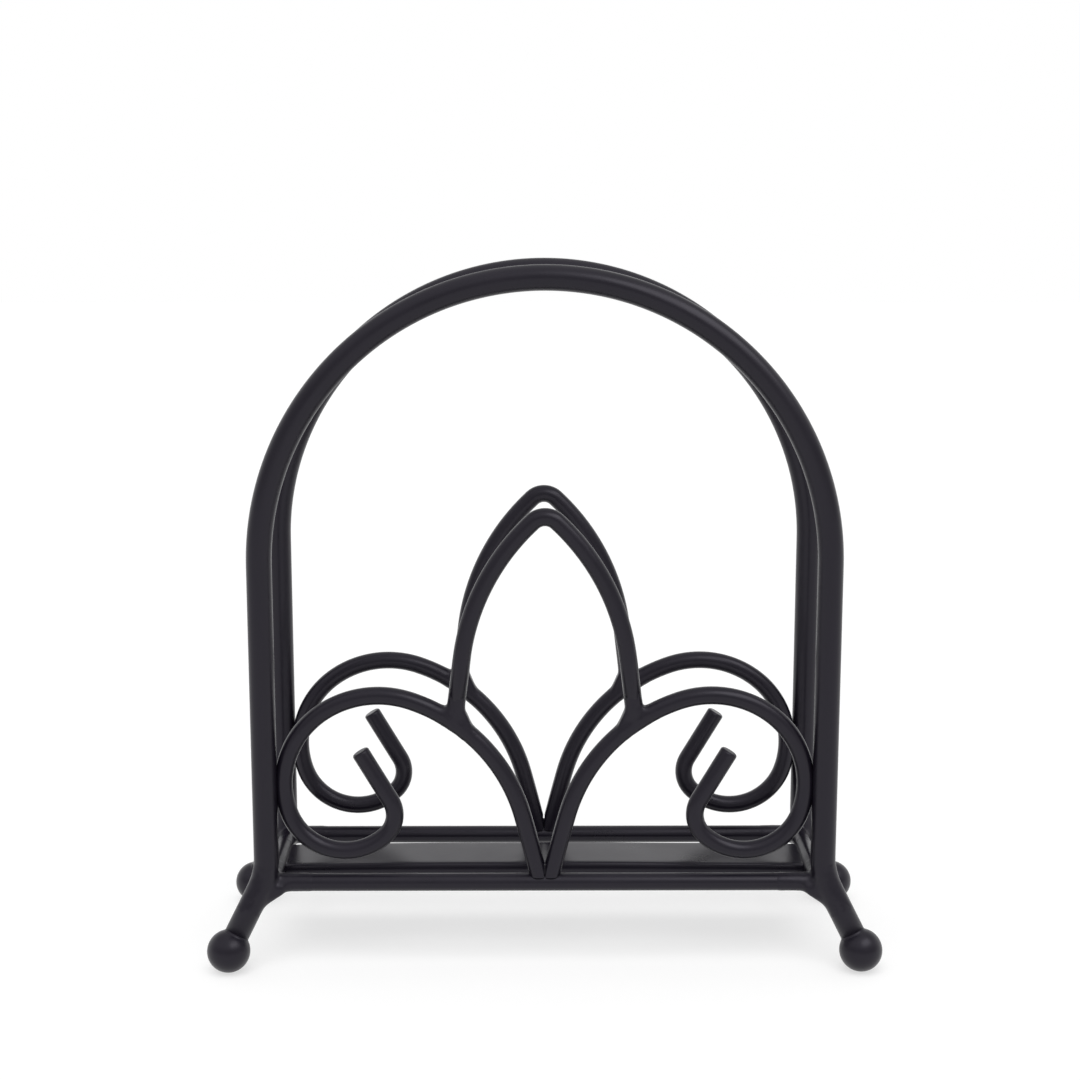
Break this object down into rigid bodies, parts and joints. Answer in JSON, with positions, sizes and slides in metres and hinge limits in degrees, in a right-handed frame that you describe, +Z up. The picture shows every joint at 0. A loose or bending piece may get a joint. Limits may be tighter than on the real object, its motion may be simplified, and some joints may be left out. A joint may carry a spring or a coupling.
{
  "type": "napkin holder",
  "caption": "Upright wire napkin holder: arched hoops on splayed ball feet, joined by a base frame and tray, with scroll and lancet panels that keep a stack of folded napkins standing.",
  "frame": {"origin": "on the table, under the middle of the holder, midway between the two hoops", "axes": "+X across the holder to the right as seen from the front, +Y from the front hoop to the rear hoop, +Z up"},
  "size_m": [0.1888, 0.0674, 0.196],
  "materials": {
    "coated_rod": "satin black powder coat on steel rod",
    "coated_ball": "satin black powder coat on steel balls",
    "coated_wire": "satin black powder coat on steel wire",
    "coated_sheet": "satin black powder coat on folded steel sheet",
    "coated_weld": "satin black powder coat over weld beads"
  },
  "bodies": {
    "root": {"front_hoop": "coated_rod", "rear_hoop": "coated_rod", "front_left_ball_foot": "coated_ball", "front_right_ball_foot": "coated_ball", "rear_left_ball_foot": "coated_ball", "rear_right_ball_foot": "coated_ball", "base_frame": "coated_wire", "base_tray": "coated_sheet", "front_left_scroll": "coated_wire", "front_right_scroll": "coated_wire", "rear_left_scroll": "coated_wire", "rear_right_scroll": "coated_wire", "front_lancet": "coated_wire", "rear_lancet": "coated_wire", "ball_welds": "coated_weld", "corner_welds": "coated_weld", "tray_welds": "coated_weld", "scroll_foot_welds": "coated_weld", "scroll_side_welds": "coated_weld", "lancet_welds": "coated_weld"}
  },
  "joints": []
}
